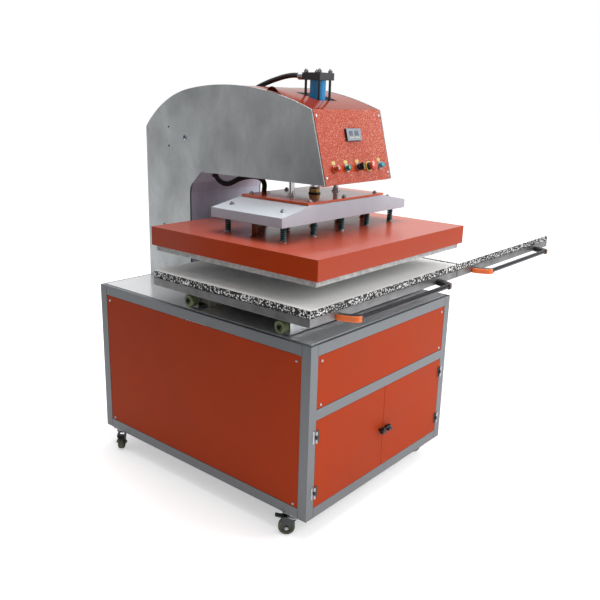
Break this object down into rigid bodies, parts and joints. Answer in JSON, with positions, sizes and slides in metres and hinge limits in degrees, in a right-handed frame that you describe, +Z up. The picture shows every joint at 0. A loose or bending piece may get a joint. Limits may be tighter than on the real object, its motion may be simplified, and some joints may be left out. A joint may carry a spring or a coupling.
{
  "type": "shuttle heat press",
  "caption": "Large-format hydraulic heat press with a fixed head, moving upper heating platen, side-to-side shuttle of lower platens and a cabinet on casters.",
  "frame": {"origin": "floor level under the middle of the cabinet's footprint", "axes": "+X to the operator's right along the shuttle, +Y to the rear, +Z up"},
  "size_m": [2.0152, 1.2965, 1.67],
  "materials": {
    "frame_grey": "semi-gloss grey enamel",
    "panel_orange": "semi-gloss orange-red enamel",
    "panel_hammer": "textured hammer-finish enamel",
    "shelf_grey": "satin grey enamel",
    "table_steel": "bright ground sheet",
    "fastener_zinc": "bright zinc",
    "bearing_plastic": "machined polymer",
    "side_galvanised": "galvanised sheet",
    "head_steel": "satin",
    "cover_grey": "satin light grey enamel",
    "display_grey": "moulded",
    "lamp_red": "translucent lens",
    "collar_silver": "satin chrome",
    "cylinder_blue": "gloss enamel",
    "cylinder_black": "satin black",
    "hose_black": "smooth rubber",
    "tank_blue": "gloss enamel",
    "pump_iron": "painted casting",
    "box_grey": "powder coat",
    "gland_black": "moulded",
    "rod_chrome": "hard chrome",
    "nut_brass": "machined",
    "beam_grey": "satin light grey enamel",
    "spring_teal": "oiled spring steel",
    "plate_aluminium": "milled",
    "conduit_black": "corrugated",
    "buffer_olive": "cast urethane",
    "pad_foam": "silicone foam under a cloth sheet",
    "bar_dark": "dark satin",
    "bracket_orange": "moulded",
    "fittings_dark": "moulded knob on plated leaves",
    "button_green": "moulded",
    "selector_black": "moulded",
    "stop_red": "moulded",
    "button_teal": "moulded",
    "fork_dark": "dark zinc",
    "wheel_olive": "polyurethane tread"
  },
  "bodies": {
    "cabinet_and_head": {"cabinet_frame": "frame_grey", "cabinet_panels": "panel_orange", "floor_shelf": "shelf_grey", "table_top": "table_steel", "panel_screws": "fastener_zinc", "frame_hinge_leaves": "fastener_zinc", "caster_plates": "fastener_zinc", "slide_blocks": "bearing_plastic", "side_plates": "side_galvanised", "head_base_plate": "head_steel", "column_covers": "cover_grey", "top_cover": "panel_orange", "control_panel": "panel_hammer", "display": "display_grey", "indicator_lamp": "lamp_red", "button_collars": "collar_silver", "cylinder_tube": "cylinder_blue", "cylinder_ends": "cylinder_black", "hydraulic_hoses": "hose_black", "oil_tank": "tank_blue", "pump_unit": "pump_iron", "electrics_box": "box_grey", "cable_glands": "gland_black"},
    "upper_platen": {"piston_rod": "rod_chrome", "piston_nuts": "nut_brass", "guide_rods": "rod_chrome", "ram_plate": "panel_orange", "beam": "beam_grey", "beam_bolts": "fastener_zinc", "springs": "spring_teal", "spring_studs": "fastener_zinc", "heater_cover": "panel_orange", "heating_plate": "plate_aluminium", "heater_conduit": "conduit_black"},
    "shuttle": {"slide_channels": "plate_aluminium", "end_buffers": "buffer_olive", "platens": "plate_aluminium", "pads": "pad_foam", "handle_bars": "bar_dark", "handle_brackets": "bracket_orange"},
    "left_door": {"left_door": "panel_orange", "left_door_fittings": "fittings_dark"},
    "right_door": {"right_door": "panel_orange", "right_door_fittings": "fittings_dark"},
    "start_button": {"green_button": "button_green"},
    "selector": {"selector_knob": "selector_black"},
    "stop_button": {"estop_button": "stop_red"},
    "release_button": {"teal_button": "button_teal"},
    "caster_front_left": {"fork_front_left": "fork_dark"},
    "wheel_front_left": {"wheel_front_left": "wheel_olive"},
    "brake_front_left": {"brake_front_left": "fork_dark"},
    "caster_front_right": {"fork_front_right": "fork_dark"},
    "wheel_front_right": {"wheel_front_right": "wheel_olive"},
    "brake_front_right": {"brake_front_right": "fork_dark"},
    "caster_rear_left": {"fork_rear_left": "fork_dark"},
    "wheel_rear_left": {"wheel_rear_left": "wheel_olive"},
    "brake_rear_left": {"brake_rear_left": "fork_dark"},
    "caster_rear_right": {"fork_rear_right": "fork_dark"},
    "wheel_rear_right": {"wheel_rear_right": "wheel_olive"},
    "brake_rear_right": {"brake_rear_right": "fork_dark"}
  },
  "joints": [
    {"name": "press", "type": "slide", "parent": "cabinet_and_head", "child": "upper_platen", "axis": [0, 0, -1], "range_m": [0, 0.075], "deforming": ["heater_conduit"]},
    {"name": "shuttle_slide", "type": "slide", "parent": "cabinet_and_head", "child": "shuttle", "axis": [1, 0, 0], "range_m": [-1.005, 0]},
    {"name": "left_door_hinge", "type": "hinge", "parent": "cabinet_and_head", "child": "left_door", "pos_m": [-0.4355, -0.598, 0.3], "axis": [0, 0, 1], "range_deg": [-110, 0]},
    {"name": "right_door_hinge", "type": "hinge", "parent": "cabinet_and_head", "child": "right_door", "pos_m": [0.4355, -0.598, 0.3], "axis": [0, 0, 1], "range_deg": [0, 110]},
    {"name": "start_press", "type": "slide", "parent": "cabinet_and_head", "child": "start_button", "axis": [0, 0.9646, -0.2637], "range_m": [0, 0.003], "stiffness_N_per_m": 250},
    {"name": "release_press", "type": "slide", "parent": "cabinet_and_head", "child": "release_button", "axis": [0, 0.9646, -0.2637], "range_m": [0, 0.003], "stiffness_N_per_m": 250},
    {"name": "stop_press", "type": "slide", "parent": "cabinet_and_head", "child": "stop_button", "axis": [0, 0.9646, -0.2637], "range_m": [0, 0.003]},
    {"name": "selector_turn", "type": "hinge", "parent": "cabinet_and_head", "child": "selector", "pos_m": [0, -0.40823, 1.31402], "axis": [0, -0.9646, 0.2637], "range_deg": [-45, 45]},
    {"name": "swivel_front_left", "type": "hinge", "parent": "cabinet_and_head", "child": "caster_front_left", "pos_m": [-0.448, -0.517, 0.08], "axis": [0, 0, 1], "continuous": true},
    {"name": "roll_front_left", "type": "hinge", "parent": "caster_front_left", "child": "wheel_front_left", "pos_m": [-0.466, -0.49555, 0.0315], "axis": [0.766, 0.6428, 0], "continuous": true},
    {"name": "brake_turn_front_left", "type": "hinge", "parent": "caster_front_left", "child": "brake_front_left", "pos_m": [-0.475, -0.48483, 0.0696], "axis": [-0.766, -0.6428, 0], "range_deg": [0, 12]},
    {"name": "swivel_front_right", "type": "hinge", "parent": "cabinet_and_head", "child": "caster_front_right", "pos_m": [0.448, -0.517, 0.08], "axis": [0, 0, 1], "continuous": true},
    {"name": "roll_front_right", "type": "hinge", "parent": "caster_front_right", "child": "wheel_front_right", "pos_m": [0.42328, -0.50386, 0.0315], "axis": [0.4695, 0.8829, 0], "continuous": true},
    {"name": "brake_turn_front_right", "type": "hinge", "parent": "caster_front_right", "child": "brake_front_right", "pos_m": [0.41092, -0.49728, 0.0696], "axis": [-0.4695, -0.8829, 0], "range_deg": [0, 12]},
    {"name": "swivel_rear_left", "type": "hinge", "parent": "cabinet_and_head", "child": "caster_rear_left", "pos_m": [-0.448, 0.517, 0.08], "axis": [0, 0, 1], "continuous": true},
    {"name": "roll_rear_left", "type": "hinge", "parent": "caster_rear_left", "child": "wheel_rear_left", "pos_m": [-0.46945, 0.499, 0.0315], "axis": [-0.6428, 0.766, 0], "continuous": true},
    {"name": "brake_turn_rear_left", "type": "hinge", "parent": "caster_rear_left", "child": "brake_rear_left", "pos_m": [-0.48017, 0.49, 0.0696], "axis": [0.6428, -0.766, 0], "range_deg": [0, 12]},
    {"name": "swivel_rear_right", "type": "hinge", "parent": "cabinet_and_head", "child": "caster_rear_right", "pos_m": [0.448, 0.517, 0.08], "axis": [0, 0, 1], "continuous": true},
    {"name": "roll_rear_right", "type": "hinge", "parent": "caster_rear_right", "child": "wheel_rear_right", "pos_m": [0.43485, 0.49228, 0.0315], "axis": [-0.8829, 0.4695, 0], "continuous": true},
    {"name": "brake_turn_rear_right", "type": "hinge", "parent": "caster_rear_right", "child": "brake_rear_right", "pos_m": [0.42828, 0.47992, 0.0696], "axis": [0.8829, -0.4695, 0], "range_deg": [0, 12]}
  ]
}
